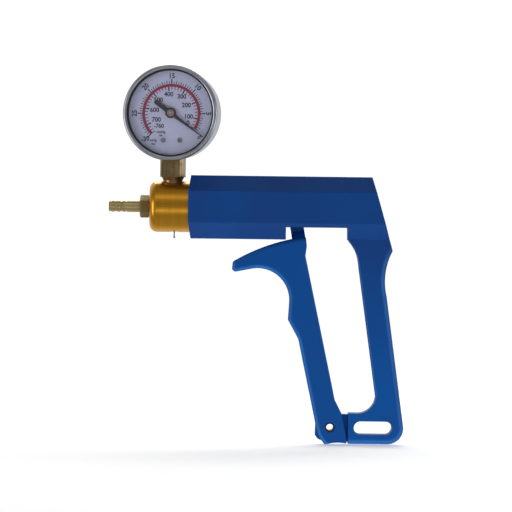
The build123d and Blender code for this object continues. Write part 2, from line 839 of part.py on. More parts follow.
with BuildPart() as gauge_case:
    with BuildSketch(gauge_section):
        Polygon(
            (case_rear, 0),
            (case_rear, case_radius - 2.0),
            (case_rear + 2.0, case_radius),
            (case_rim, case_radius),
            (case_rim, case_radius - case_wall),
            (case_rear + 2.2, case_radius - case_wall),
            (case_rear + case_wall, case_radius - 2.2),
            (case_rear + case_wall, 0),
            align=None,
        )
    revolve(axis=gauge_axis)
    with BuildSketch(socket_plane.offset(gauge_z - case_radius - 1)) as opening:
        Rectangle(socket_side, socket_side)
        chamfer(opening.vertices(), length=1.6)
    extrude(amount=6, mode=Mode.SUBTRACT)
keep(gauge_case.part, "gauge_case")

with BuildPart() as gauge_bezel:
    with BuildSketch(gauge_section):
        with BuildLine():
            Polyline(
                (case_front - bezel_round, bezel_radius),
                (case_front - bezel_skirt + 0.4, bezel_radius),
                (case_front - bezel_skirt, bezel_radius - 0.4),
                (case_front - bezel_skirt, case_radius),
                (gasket_front, case_radius),
                (gasket_front, bezel_inner),
                (case_front - 0.3, bezel_inner),
            )
            ThreePointArc(
                (case_front - 0.3, bezel_inner),
                (case_front, bezel_lip_radius),
                (case_front - bezel_round, bezel_radius),
            )
        make_face()
    revolve(axis=gauge_axis)
keep(gauge_bezel.part, "gauge_bezel")

gauge_gasket = turned_on_gauge(
    (case_rim, dial_radius - 0.6),
    (case_rim, case_radius),
    (gasket_front, case_radius),
    (gasket_front, bezel_inner - gasket_lip),
    (lens_front, bezel_inner - gasket_lip),
    (lens_front, lens_radius),
    (lens_rear, lens_radius),
    (lens_rear, dial_radius - 0.6),
)
keep(gauge_gasket, "gauge_gasket")

gauge_lens = turned_on_gauge(
    (lens_rear, 0),
    (lens_rear, lens_radius),
    (lens_front, lens_radius),
    (lens_front, 0),
)
keep(gauge_lens, "gauge_lens")

with BuildPart() as gauge_dial:
    with BuildSketch(gauge_face(dial_front - dial_thick)):
        Circle(dial_radius)
        Circle(2.0, mode=Mode.SUBTRACT)
        with Locations(*dial_screw_places):
            Circle(dial_screw_radius, mode=Mode.SUBTRACT)
    extrude(amount=dial_thick)
keep(gauge_dial.part, "gauge_dial")

with BuildPart() as dial_screws:
    with BuildSketch(gauge_face(dial_front)):
        with Locations(*dial_screw_places):
            Circle(1.55)
    extrude(amount=0.8)
    with BuildSketch(gauge_face(dial_front)):
        with Locations(*dial_screw_places):
            Circle(dial_screw_radius)
    extrude(amount=-2.3)
    with BuildSketch(gauge_face(dial_front + 0.4)):
        for (across, up), turn in zip(dial_screw_places, (25, -50)):
            with Locations(Location((across, up, 0), (0, 0, turn))):
                Rectangle(4, 0.5)
    extrude(amount=1, mode=Mode.SUBTRACT)
keep(dial_screws.part, "dial_screws")

# ---------------------------------------------------------------- gauge movement
with BuildPart() as bourdon_tube:
    with BuildSketch(gauge_face(bourdon_rear)):
        add(ring_sector(tube_outer, tube_inner, bourdon_start, -bourdon_sweep))
    extrude(amount=bourdon_width)
    with BuildSketch(gauge_face(bourdon_rear + bourdon_wall)):
        add(ring_sector(tube_outer - bourdon_wall, tube_inner + bourdon_wall,
                        bourdon_start + 1, -bourdon_sweep - 2))
    extrude(amount=bourdon_width - 2 * bourdon_wall, mode=Mode.SUBTRACT)
keep(bourdon_tube.part, "bourdon_tube")

with BuildPart() as bourdon_tip:
    tip_angle = bourdon_start - bourdon_sweep
    with BuildSketch(gauge_face(bourdon_rear - 0.2)):
        add(ring_sector(tube_outer + 0.4, tube_inner - 0.4, tip_angle, -6))
    extrude(amount=bourdon_width + 0.4)
    with BuildSketch(gauge_face(bourdon_rear + bourdon_width)):
        add(ring_sector(tube_inner + 1, 17.6, tip_angle - 1, -5))
    extrude(amount=link_rear - 0.3 - bourdon_rear - bourdon_width)
keep(bourdon_tip.part, "bourdon_tip")


def movement_plate(low, bottom, screw_holes):
    """A movement plate with bearing holes for both arbors and a hole for each pillar's tenon."""
    with BuildPart() as plate:
        with BuildSketch(gauge_face(low)) as outline:
            Polygon((-3.6, 6.6), (3.6, 6.6), (7.8, -13), (7.8, bottom), (-7.8, bottom), (-7.8, -13),
                    align=None)
            fillet(outline.vertices().group_by(Axis.Y)[-1], radius=2.0)
            with Locations((0, 0), sector_pivot):
                Circle(arbor_radius + running_gap, mode=Mode.SUBTRACT)
            if screw_holes:
                with Locations(*movement_screw_places):
                    Circle(movement_screw_radius, mode=Mode.SUBTRACT)
        extrude(amount=plate_thick)
    return plate.part


keep(movement_plate(0, socket_step + 0.5, True), "movement_rear_plate")
keep(movement_plate(front_plate_rear, -20.2, False), "movement_front_plate")
keep(studs(pillar_places, plate_thick, front_plate_rear, 1.2), "movement_pillars")

with BuildPart() as dial_posts:
    with BuildSketch(gauge_face(front_plate_rear + plate_thick)):
        with Locations(*dial_screw_places):
            Circle(1.4)
            Circle(dial_screw_radius, mode=Mode.SUBTRACT)
    extrude(amount=dial_front - dial_thick - front_plate_rear - plate_thick)
keep(dial_posts.part, "dial_posts")

with BuildPart() as movement_screws:
    with BuildSketch(gauge_face(plate_thick)):
        with Locations(*movement_screw_places):
            Circle(1.7)
    extrude(amount=1.0)
    with BuildSketch(gauge_face(plate_thick)):
        with Locations(*movement_screw_places):
            Circle(movement_screw_radius)
    extrude(amount=-6)
    with BuildSketch(gauge_face(plate_thick + 0.5)):
        with Locations(*movement_screw_places):
            Rectangle(4, 0.5, rotation=30)
    extrude(amount=1, mode=Mode.SUBTRACT)
keep(movement_screws.part, "movement_screws")


def tooth(pitch_radius, angle):
    """One gear tooth as a trapezium that stands on the root circle at that angle."""
    root = pitch_radius - tooth_depth
    crest = pitch_radius + tooth_height
    flank = tan(radians(20))
    half_root = tooth_half + tooth_depth * flank
    half_crest = tooth_half - tooth_height * flank
    corners = ((root - 0.2, half_root), (crest, half_crest), (crest, -half_crest), (root - 0.2, -half_root))
    turn = radians(angle)
    return [(x * cos(turn) - y * sin(turn), x * sin(turn) + y * cos(turn)) for x, y in corners]


with BuildPart() as pinion_arbor:
    with BuildSketch(gauge_face(0)):
        Circle(arbor_radius)
    extrude(amount=hub_front)
    with BuildSketch(gauge_face(sector_rear - 0.4)):
        Circle(pinion_pitch - tooth_depth)
        for number in range(pinion_teeth):
            Polygon(*tooth(pinion_pitch, -90 + (number + 0.5) * 360 / pinion_teeth), align=None)
    extrude(amount=sector_thick + 0.8)
keep(pinion_arbor.part, "pinion_arbor")

with BuildPart() as sector_gear:
    with BuildSketch(gauge_face(sector_rear)):
        with Locations(sector_pivot):
            Circle(2.2)
            for number in range(-1, 9):
                step = number * 360 / sector_teeth
                Polygon(*tooth(sector_pitch, 90 + step), align=None)
            add(ring_sector(sector_pitch - tooth_depth, sector_pitch - 2.2, 82, 57))
            Polygon((-1.0, 1.0), (1.0, 1.0), (0.6, 9.4), (-1.6, 9.4), align=None)
            Polygon((-2.0, 0), (0, 1.6), (-4.0, 9.0), (-6.2, 7.4), align=None)
            Polygon((-1.2, 0), (1.2, 0), (1.2, -tail_arm), (-1.2, -tail_arm), align=None)
        with Locations((sector_pivot[0], sector_pivot[1] - tail_arm)):
            Circle(1.3)
    extrude(amount=sector_thick)
    with BuildSketch(gauge_face(0)):
        with Locations(sector_pivot):
            Circle(arbor_radius)
    extrude(amount=front_plate_rear + plate_thick)
    with BuildSketch(gauge_face(sector_rear)):
        with Locations((sector_pivot[0], sector_pivot[1] - tail_arm)):
            Circle(link_pin_radius)
    extrude(amount=link_rear + link_thick - sector_rear)
keep(sector_gear.part, "sector_gear")

link_start = Vector(sector_pivot[0], sector_pivot[1] - tail_arm)
with BuildPart() as movement_link:
    with BuildSketch(gauge_face(link_rear)):
        with BuildLine():
            Line(link_start, link_end)
        trace(line_width=1.5)
        with Locations(link_start, link_end):
            Circle(1.25)
        with Locations(link_start):
            Circle(link_pin_radius + running_gap, mode=Mode.SUBTRACT)
        with Locations(link_end):
            Circle(0.5, mode=Mode.SUBTRACT)
    extrude(amount=link_thick)
keep(movement_link.part, "movement_link")

with BuildPart() as gauge_pointer:
    with BuildSketch(gauge_face(pointer_rear)):
        with Locations(Location((0, 0, 0), (0, 0, pointer_rest))):
            Polygon(
                (0, pointer_root_half),
                (pointer_length, pointer_tip_half),
                (pointer_length, -pointer_tip_half),
                (0, -pointer_root_half),
                align=None,
            )
            tail_end = pointer_tail_half - pointer_tail
            Polygon(*span(tail_end, 0, -pointer_tail_half, pointer_tail_half), align=None)
            with Locations((tail_end, 0)):
                Circle(pointer_tail_half)
        Circle(pointer_boss_radius)
        Circle(arbor_radius, mode=Mode.SUBTRACT)
    extrude(amount=pointer_thick)
keep(gauge_pointer.part, "gauge_pointer")

keep(
    turned_on_gauge(
        (hub_rear, arbor_radius),
        (hub_rear, pointer_boss_radius),
        (pointer_rear - 0.02, pointer_boss_radius),
        (pointer_rear - 0.02, arbor_radius),
    ),
    "pointer_boss",
)
keep(
    turned_on_gauge(
        (pointer_rear + pointer_thick, arbor_radius),
        (pointer_rear + pointer_thick, pointer_cap_radius),
        (hub_front - 0.2, pointer_cap_radius),
        (hub_front, pointer_cap_radius - 0.2),
        (hub_front, arbor_radius),
    ),
    "pointer_cap",
)
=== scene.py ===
import json
from math import cos, pi, radians, sin

import bmesh
import bpy
from mathutils import Matrix, Vector

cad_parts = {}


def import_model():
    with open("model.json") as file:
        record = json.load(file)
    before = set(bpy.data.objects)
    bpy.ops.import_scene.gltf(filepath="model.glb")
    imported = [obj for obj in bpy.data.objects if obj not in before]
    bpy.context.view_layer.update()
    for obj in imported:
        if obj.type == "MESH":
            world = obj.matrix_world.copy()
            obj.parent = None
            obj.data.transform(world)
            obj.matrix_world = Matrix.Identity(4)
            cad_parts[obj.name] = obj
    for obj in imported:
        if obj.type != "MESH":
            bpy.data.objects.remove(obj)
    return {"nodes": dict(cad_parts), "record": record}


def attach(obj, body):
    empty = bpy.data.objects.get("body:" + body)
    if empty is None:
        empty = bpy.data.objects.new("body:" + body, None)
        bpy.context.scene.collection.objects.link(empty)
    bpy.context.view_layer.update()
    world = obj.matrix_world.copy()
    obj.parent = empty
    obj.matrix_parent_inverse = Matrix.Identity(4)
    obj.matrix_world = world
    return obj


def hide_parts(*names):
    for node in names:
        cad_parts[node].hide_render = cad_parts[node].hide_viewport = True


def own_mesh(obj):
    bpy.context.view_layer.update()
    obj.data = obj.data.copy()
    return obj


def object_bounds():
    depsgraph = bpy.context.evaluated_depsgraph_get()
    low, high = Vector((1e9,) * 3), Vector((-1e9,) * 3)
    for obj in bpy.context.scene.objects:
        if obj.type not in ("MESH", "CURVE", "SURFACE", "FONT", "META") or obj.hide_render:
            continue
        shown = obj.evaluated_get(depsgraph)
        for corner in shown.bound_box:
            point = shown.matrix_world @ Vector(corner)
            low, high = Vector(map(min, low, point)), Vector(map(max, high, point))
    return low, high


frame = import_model()
CAD_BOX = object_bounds()
NODES = frame["nodes"]
MM = 0.001
# nearly all of a noise texture's values lie in this range
NOISE_RANGE = (0.3, 0.7)

# ---------------------------------------------------------------- node helpers


class Nodes:
    """A new material with one Principled shader, and short ways to feed its sockets."""

    def __init__(self, name):
        self.material = bpy.data.materials.new(name)
        self.material.use_nodes = True
        self.tree = self.material.node_tree
        self.shader = self.tree.nodes["Principled BSDF"]
        self.place = self.add("TexCoord").outputs["Object"]

    def add(self, kind, **settings):
        """Adds a shader node and sets its own properties."""
        node = self.tree.nodes.new("ShaderNode" + kind)
        for key, value in settings.items():
            setattr(node, key, value)
        return node

    def link(self, source, target):
        self.tree.links.new(source, target)

    def feed(self, node, **inputs):
        """Sets or links a node's inputs by name, with _ for a space."""
        for key, value in inputs.items():
            socket = node.inputs[key.replace("_", " ")]
            if isinstance(value, bpy.types.NodeSocket):
                self.link(value, socket)
            else:
                socket.default_value = value
        return node

    def mapped(self, scale):
        """Object coordinates, scaled along each axis."""
        node = self.feed(self.add("Mapping"), Vector=self.place, Scale=scale)
        return node.outputs["Vector"]

    def noise(self, scale, detail=3.0, roughness=0.5, vector=None):
        """Fractal noise over object coordinates, or over the vector given."""
        node = self.add("TexNoise")
        self.feed(node, Vector=vector or self.place, Scale=scale, Detail=detail, Roughness=roughness)
        return node.outputs["Fac"]

    def cells(self, scale):
        """The distance to the nearest of many scattered points, for specks."""
        node = self.feed(self.add("TexVoronoi"), Vector=self.place, Scale=scale)
        return node.outputs["Distance"]

    def ramp(self, value, low, high, start=0.0, end=1.0):
        """Maps a value from the range low to high onto start to end, clamped."""
        node = self.add("MapRange")
        self.feed(node, Value=value)
        for key, number in (("From Min", low), ("From Max", high), ("To Min", start), ("To Max", end)):
            if isinstance(number, bpy.types.NodeSocket):
                self.link(number, node.inputs[key])
            else:
                node.inputs[key].default_value = number
        return node.outputs["Result"]

    def spread(self, value, start=0.0, end=1.0):
        """Maps the values that a noise usually takes onto start to end."""
        return self.ramp(value, *NOISE_RANGE, start, end)

    def math(self, operation, first, second=0.0):
        """One step of arithmetic on numbers or sockets."""
        node = self.add("Math", operation=operation)
        for place, value in enumerate((first, second)):
            if isinstance(value, bpy.types.NodeSocket):
                self.link(value, node.inputs[place])
            else:
                node.inputs[place].default_value = value
        return node.outputs[0]

    def blend(self, factor, first, second):
        """A mix of two colours, each a tuple or a socket."""
        node = self.add("Mix", data_type="RGBA")
        for place, value in ((0, factor), (6, first), (7, second)):
            if isinstance(value, bpy.types.NodeSocket):
                self.link(value, node.inputs[place])
            elif place == 0:
                node.inputs[place].default_value = value
            else:
                node.inputs[place].default_value = (*value, 1.0)
        return node.outputs[2]

    def bump(self, height, distance, strength, under=None):
        """A normal from a height, on top of another normal where one is given."""
        node = self.feed(self.add("Bump"), Height=height, Distance=distance, Strength=strength)
        if under is not None:
            self.link(under, node.inputs["Normal"])
        return node.outputs["Normal"]

    def edges(self, radius):
        """1 on the edges of a piece and 0 on its open faces, from a bevelled normal."""
        bevel = self.add("Bevel", samples=4)
        bevel.inputs["Radius"].default_value = radius
        facing = self.add("VectorMath", operation="DOT_PRODUCT")
        self.link(bevel.outputs["Normal"], facing.inputs[0])
        self.link(self.add("NewGeometry").outputs["Normal"], facing.inputs[1])
        return self.ramp(facing.outputs["Value"], 0.99, 0.86)

    def rounding(self):
        """1 where a side face rolls over an edge and 0 on the side faces and on the ends; it places a painted
        highlight.
        """
        split = self.add("SeparateXYZ")
        self.link(self.add("NewGeometry").outputs["Normal"], split.inputs[0])
        side = self.math("ABSOLUTE", split.outputs["Y"])
        rolled = self.ramp(side, 0.985, 0.88)
        return self.math("MULTIPLY", rolled, self.ramp(side, 0.40, 0.72))

    def finish(self, **inputs):
        """Feeds the shader and gives back the material."""
        self.feed(self.shader, **inputs)
        return self.material


def axis_split(nodes, axis):
    """One object coordinate, in metres."""
    split = nodes.add("SeparateXYZ")
    nodes.link(nodes.place, split.inputs[0])
    return split.outputs[axis]


# ---------------------------------------------------------------- materials
# heights in metres between which the paint turns lighter towards the foot, painted light from below, and
# where the painted highlight on rolled edges comes in
BARREL_SHADE, FOOT_SHADE = -0.02, -0.13
BELOW_BARREL = (-0.024, -0.036)
# how much finer a turned metal's pattern is along its axis than around it
ACROSS_RINGS, ALONG_RINGS = 60, 1.2


def blue_paint(name, upper, lower, violet, light):
    """Satin enamel over a fairly smooth casting: orange peel, violet clouds, dust and rubbed edges.

    Its colour turns from upper, a deeper blue on the barrel, to a lighter lower at the foot, which is painted
    light from below. Light is the tint of rubbed edges and of dust, and of a painted highlight on the sides
    where they roll over an edge below the barrel."""
    n = Nodes(name)
    # painted light: the colour turns lighter from the barrel down to the foot, standing in for light from
    # below; the noise added to it is a random drift
    painted_light_to_foot = n.ramp(axis_split(n, "Z"), BARREL_SHADE, FOOT_SHADE)
    drift = n.math("ADD", painted_light_to_foot, n.spread(n.noise(22, 4, 0.55), -0.2, 0.2))
    colour = n.blend(n.ramp(drift, 0.0, 1.0), upper, lower)
    clouds = n.ramp(n.noise(34, 5, 0.6, n.mapped((1, 1, 0.6))), 0.52, 0.70, 0.0, 0.55)
    colour = n.blend(clouds, colour, violet)
    # painted highlight: a lighter tint where the sides roll over an edge below the barrel, broken up by noise
    soft = n.math("MULTIPLY", n.rounding(), n.ramp(axis_split(n, "Z"), *BELOW_BARREL))
    soft = n.math("MULTIPLY", soft, n.ramp(n.noise(48, 3), 0.3, 0.6, 0.45, 0.9))
    colour = n.blend(soft, colour, light)
    rubbed = n.math("MULTIPLY", n.edges(0.0006), n.ramp(n.noise(140, 3), 0.38, 0.62, 0.1, 0.6))
    colour = n.blend(rubbed, colour, light)
    specks = n.ramp(n.cells(420), 0.10, 0.04)
    specks = n.math("MULTIPLY", specks, n.ramp(n.noise(60, 2), 0.52, 0.64, 0.0, 0.3))
    colour = n.blend(specks, colour, light)
    peel = n.noise(950, 2, 0.5)
    casting = n.noise(130, 3, 0.5)
    normal = n.bump(peel, 0.00002, 0.5)
    normal = n.bump(casting, 0.00008, 0.3, normal)
    haze = n.spread(n.noise(85, 4, 0.6), 0.36, 0.5)
    rough = n.math("ADD", haze, n.math("MULTIPLY", rubbed, 0.08))
    return n.finish(Base_Color=colour, Roughness=rough, Normal=normal, Specular_IOR_Level=0.14)


def turned_metal(name, low, high, axis, rough=(0.2, 0.34), pitch=0.00022, stain=None, groove=0.000006,
                 worn=None, tarnished=None):
    """Turned metal with fine rings about an axis, a pitch apart, and bands of tone.

    Stain is the tone of its patches and worn the tone of its edges. Tarnished is where a dull tone
    starts and is complete along the axis, and that tone."""
    n = Nodes(name)
    along = axis_split(n, axis)
    stretch = tuple(ACROSS_RINGS if letter == axis else ALONG_RINGS for letter in "XYZ")
    bands = n.noise(24, 4, 0.6, n.mapped(stretch))
    colour = n.blend(n.spread(bands), low, high)
    if stain is not None:
        patch = n.math("MULTIPLY", n.ramp(n.noise(170, 5, 0.65), 0.5, 0.72), 0.75)
        colour = n.blend(patch, colour, stain)
    if worn is not None:
        edge = n.math("MULTIPLY", n.edges(0.0005), 0.7)
        colour = n.blend(edge, colour, worn)
    if tarnished is not None:
        start, end, tone = tarnished
        dull = n.ramp(along, start, end)
        colour = n.blend(n.math("MULTIPLY", dull, 0.9), colour, tone)
    rings = n.math("SINE", n.math("MULTIPLY", along, 2 * pi / pitch))
    rings = n.math("ADD", rings, n.math("MULTIPLY", bands, 3.0))
    scratches = n.noise(1.0, 3, 0.6, n.mapped(tuple(v * 30 for v in stretch)))
    normal = n.bump(rings, groove, 0.5)
    normal = n.bump(scratches, 0.00001, 0.35, normal)
    roughness = n.spread(n.noise(110, 4, 0.6), *rough)
    if tarnished is not None:
        roughness = n.math("ADD", roughness, n.math("MULTIPLY", dull, 0.18))
    return n.finish(Base_Color=colour, Roughness=roughness, Normal=normal, Metallic=1.0)


def brushed_metal(name, low, high, rough=(0.25, 0.4), direction=(1, 40, 40), stain=None, depth=0.000012):
    """Sheet or drawn metal with fine straight brushing, smudges, small dents and stains."""
    n = Nodes(name)
    lines = n.noise(55, 3, 0.6, n.mapped(direction))
    smudge = n.noise(70, 4, 0.6)
    colour = n.blend(n.spread(smudge), low, high)
    if stain is not None:
        colour = n.blend(n.ramp(n.noise(240, 4, 0.7), 0.56, 0.7, 0.0, 0.7), colour, stain)
        colour = n.blend(n.ramp(lines, 0.5, 0.66, 0.0, 0.55), colour, stain)
    normal = n.bump(lines, depth, 0.35)
    normal = n.bump(n.noise(300, 2), 0.00002, 0.12, normal)
    roughness = n.ramp(n.math("ADD", lines, smudge), 0.7, 1.3, *rough)
    return n.finish(Base_Color=colour, Roughness=roughness, Normal=normal, Metallic=1.0)


def rubber(name, tone):
    """Matte black rubber with a fine grain and a dusty bloom."""
    n = Nodes(name)
    bloom = n.ramp(n.noise(180, 4, 0.6), 0.4, 0.75)
    colour = n.blend(bloom, (tone, tone, tone), (tone * 2.4, tone * 2.4, tone * 2.3))
    normal = n.bump(n.noise(1600, 2), 0.00003, 0.4)
    return n.finish(Base_Color=colour, Roughness=n.ramp(bloom, 0, 1, 0.5, 0.75), Normal=normal)


def machined_plastic(name, low, high):
    """Machined acetal: nearly white, with faint tool marks."""
    n = Nodes(name)
    colour = n.blend(n.spread(n.noise(90, 3)), low, high)
    marks = n.noise(40, 2, 0.5, n.mapped((60, 1, 1)))
    return n.finish(Base_Color=colour, Roughness=n.spread(marks, 0.38, 0.52),
                    Normal=n.bump(marks, 0.00001, 0.4))


def dial_enamel(name):
    """Matte print on tinplate: a cool white with faint mottling and specks of dust."""
    n = Nodes(name)
    tone = n.spread(n.noise(160, 5, 0.6))
    colour = n.blend(tone, (0.42, 0.435, 0.59), (0.47, 0.485, 0.645))
    patches = n.ramp(n.noise(240, 2), 0.55, 0.68, 0.0, 0.3)
    dust = n.math("MULTIPLY", n.ramp(n.cells(900), 0.16, 0.05), patches)
    colour = n.blend(dust, colour, (0.30, 0.30, 0.36))
    return n.finish(Base_Color=colour, Roughness=n.ramp(tone, 0, 1, 0.42, 0.55),
                    Normal=n.bump(n.noise(1400, 2), 0.000008, 0.5))


def printed(name, low, high):
    """Screen-printed ink with slightly uneven cover."""
    n = Nodes(name)
    cover = n.ramp(n.noise(900, 4, 0.7), 0.35, 0.72)
    colour = n.blend(cover, low, high)
    return n.finish(Base_Color=colour, Roughness=n.ramp(cover, 0, 1, 0.42, 0.6),
                    Normal=n.bump(cover, 0.000004, 0.5))


def clear_lens(name):
    """Clear moulded window that lets lamps through to the dial, with faint smears."""
    n = Nodes(name)
    smear = n.ramp(n.noise(60, 5, 0.6), 0.5, 0.8, 0.0, 0.012)
    n.finish(Base_Color=(0.97, 0.975, 1.0, 1.0), Roughness=smear, Transmission_Weight=1.0, IOR=1.46)
    clear = n.add("BsdfTransparent")
    clear.inputs["Color"].default_value = (0.96, 0.965, 0.98, 1.0)
    through = n.add("MixShader")
    n.link(n.add("LightPath").outputs["Is Shadow Ray"], through.inputs[0])
    n.link(n.shader.outputs[0], through.inputs[1])
    n.link(clear.outputs[0], through.inputs[2])
    n.link(through.outputs[0], n.tree.nodes["Material Output"].inputs["Surface"])
    return n.material


# each paint's foot colour is lighter than its barrel colour: painted light from below
MATERIALS = {
    "blue_paint": blue_paint("blue_paint", (0.0060, 0.060, 0.262), (0.0022, 0.096, 0.40),
                             (0.013, 0.052, 0.25), (0.022, 0.16, 0.56)),
    "trigger_paint": blue_paint("trigger_paint", (0.0028, 0.082, 0.350), (0.0030, 0.084, 0.360),
                                (0.011, 0.070, 0.33), (0.025, 0.18, 0.60)),
    "gold_anodising": turned_metal("gold_anodising", (0.64, 0.30, 0.024), (0.74, 0.36, 0.032), "X",
                                   (0.28, 0.35), 0.00022, groove=0.000002, worn=(0.84, 0.58, 0.18)),
    "bright_aluminium": turned_metal("bright_aluminium", (0.62, 0.63, 0.65), (0.74, 0.75, 0.77), "X"),
    "black_rubber": rubber("black_rubber", 0.012),
    "black_steel": brushed_metal("black_steel", (0.03, 0.03, 0.032), (0.07, 0.07, 0.072), (0.35, 0.5)),
    "white_acetal": machined_plastic("white_acetal", (0.70, 0.70, 0.66), (0.80, 0.80, 0.77)),
    "spring_steel": brushed_metal("spring_steel", (0.34, 0.35, 0.37), (0.48, 0.49, 0.51), (0.22, 0.36)),
    "brass_fitting": turned_metal("brass_fitting", (0.52, 0.41, 0.18), (0.66, 0.53, 0.26), "X", (0.34, 0.46),
                                  0.00035, stain=(0.36, 0.28, 0.13), worn=(0.74, 0.64, 0.38), groove=0.000002,
                                  tarnished=(-0.001, 0.001, (0.24, 0.165, 0.062))),
    "gauge_brass": brushed_metal("gauge_brass", (0.27, 0.185, 0.090), (0.42, 0.30, 0.155), (0.30, 0.44),
                                 (18, 18, 0.6), stain=(0.10, 0.065, 0.032), depth=0.00012),
    "movement_brass": brushed_metal("movement_brass", (0.55, 0.42, 0.17), (0.68, 0.54, 0.25), (0.25, 0.38)),
    "bright_steel": turned_metal("bright_steel", (0.50, 0.51, 0.52), (0.66, 0.67, 0.68), "Y", (0.18, 0.3)),
    "gauge_steel": brushed_metal("gauge_steel", (0.38, 0.39, 0.45), (0.50, 0.51, 0.58), (0.26, 0.36),
                                 (2, 45, 2), depth=0.000004),
    "clear_lens": clear_lens("clear_lens"),
    "dial_white": dial_enamel("dial_white"),
    "pointer_black": printed("pointer_black", (0.012, 0.012, 0.016), (0.03, 0.03, 0.036)),
}

SLOT_OF = {part["node"]: part["material_slot"] for part in frame["record"]["subparts"]}
OWN_FINISH = {
    # painted shade: the pin's steel is coloured near black, standing in for the shadow in its recess
    "pivot_pin": brushed_metal("pivot_pin_painted_shade", (0.020, 0.022, 0.030), (0.045, 0.047, 0.060), (0.35, 0.5)),
    "pointer_cap": turned_metal("pointer_cap", (0.34, 0.22, 0.19), (0.46, 0.32, 0.28), "Z", (0.3, 0.45)),
    "dial_screws": brushed_metal("dial_screws", (0.22, 0.21, 0.24), (0.34, 0.33, 0.37), (0.35, 0.5)),
}
for node, piece in NODES.items():
    for slot in piece.material_slots:
        slot.material = OWN_FINISH.get(node, MATERIALS[SLOT_OF[node]])


def closing_spring(node):
    """Shows a CAD spring with a copy of its mesh that rides the frame, and hides the original."""
    source = NODES[node]
    piece = bpy.data.objects.new(node + "_coil", source.data.copy())
    bpy.context.collection.objects.link(piece)
    piece.matrix_world = source.matrix_world.copy()
    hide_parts(node)
    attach(piece, "frame")
    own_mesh(piece)


closing_spring("return_spring")
closing_spring("release_valve_spring")

# ---------------------------------------------------------------- print on the dial
# millimetres and degrees on the dial, from its middle, apart from GAUGE_CENTRE in metres
GAUGE_CENTRE = Vector((0.0212, 0.0, 0.0606))
GAUGE_TURN = radians(9.0)
DIAL_FRONT = 9.9
PRINT_LIFT, PRINT_THICK = 0.03, 0.02
PRINT_SHIFT = (0.3, -0.4)
INNER_BAND, OUTER_BAND = 17.3, 19.2
BAND_START, BAND_END, BAND_PLATES = -33.0, 226.0, 130
SCALE_START, DEGREES_PER_INCH, INCHES = -45.0, 9.0, 30
MILLIMETRES_ZERO, DEGREES_PER_MILLIMETRE = -47.3, 0.36
MARK_EVERY, FIRST_MARK, LAST_MARK = 20, 2, 38
# inner end, outer end and width of each kind of tick
FIVE_INCH_TICK = (OUTER_BAND, 22.2, 0.72)
INCH_TICK = (OUTER_BAND + 0.1, 21.2, 0.50)
HALF_INCH_TICK = (OUTER_BAND + 0.1, 20.7, 0.46)
HUNDRED_TICK = (14.7, INNER_BAND, 0.85)
MARK_TICK = (15.5, INNER_BAND, 0.58)
# a numeral's height over the face's size, its strokes' thickening over that height, its width's squeeze
NUMERAL_SHARE, STROKE_SHARE, SQUEEZE = 0.66, 0.042, 0.95
INCH_NUMERALS, INCH_HEIGHT, INCH_RADIUS = (5, 10, 15, 20, 25), 3.0, 24.2
MILLIMETRE_HEIGHT = 2.75
# value, radius and angle
MILLIMETRE_NUMERALS = (
    (0, 12.6, -29), (100, 11.4, -10.3), (200, 11.2, 28.8), (300, 12.8, 58.5),
    (400, 12.5, 98.4), (500, 12.2, 134.8), (600, 11.3, 169), (700, 10.6, 202.5),
)
# text, height, middle and turn
SMALL_PRINT = (
    ("-760", 2.5, (-8.1, -8.2), 0),
    ("mmHg", 1.5, (-6.8, -12.0), 0),
    ("vac", 1.3, (-6.8, -14.1), 0),
    ("-30", 2.9, (-17.0, -16.6), 10),
    ("inHg", 1.6, (-11.7, -17.4), 0),
    ("vac", 1.4, (-11.7, -19.7), 0),
)
ZERO_HEIGHT, ZERO_RADIUS, ZERO_ANGLE, ZERO_TURN = 2.3, 24.0, -40, -45


def on_dial(across, up, forward):
    """A point in the world from millimetres on the dial."""
    right = Vector((cos(GAUGE_TURN), -sin(GAUGE_TURN), 0))
    out = Vector((-sin(GAUGE_TURN), -cos(GAUGE_TURN), 0))
    place = right * (across + PRINT_SHIFT[0]) + Vector((0, 0, up + PRINT_SHIFT[1])) + out * forward
    return GAUGE_CENTRE + place * MM


def polar(radius, angle):
    """Millimetres across and up from a radius and degrees counter-clockwise."""
    return radius * cos(radians(angle)), radius * sin(radians(angle))


def add_plate(mesh, outline):
    """Adds a thin flat plate of print with this outline, counter-clockwise, in millimetres."""
    low, high = DIAL_FRONT + PRINT_LIFT, DIAL_FRONT + PRINT_LIFT + PRINT_THICK
    back = [mesh.verts.new(on_dial(x, y, low)) for x, y in outline]
    front = [mesh.verts.new(on_dial(x, y, high)) for x, y in outline]
    mesh.faces.new(front)
    mesh.faces.new(back[::-1])
    for place in range(len(outline)):
        after = (place + 1) % len(outline)
        mesh.faces.new((back[place], back[after], front[after], front[place]))


def add_tick(mesh, angle, inner, outer, width):
    """Adds a radial tick from one radius to another."""
    across = width / 2
    turn = radians(angle)
    corners = ((inner, -across), (outer, -across), (outer, across), (inner, across))
    add_plate(mesh, [(x * cos(turn) - y * sin(turn), x * sin(turn) + y * cos(turn)) for x, y in corners])


def printed_piece(name, mesh, material):
    """Makes the plates and labels gathered in a mesh into a piece that rides the frame."""
    bmesh.ops.recalc_face_normals(mesh, faces=mesh.faces)
    data = bpy.data.meshes.new(name)
    mesh.to_mesh(data)
    mesh.free()
    data.materials.append(material)
    piece = bpy.data.objects.new(name, data)
    bpy.context.collection.objects.link(piece)
    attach(piece, "frame")


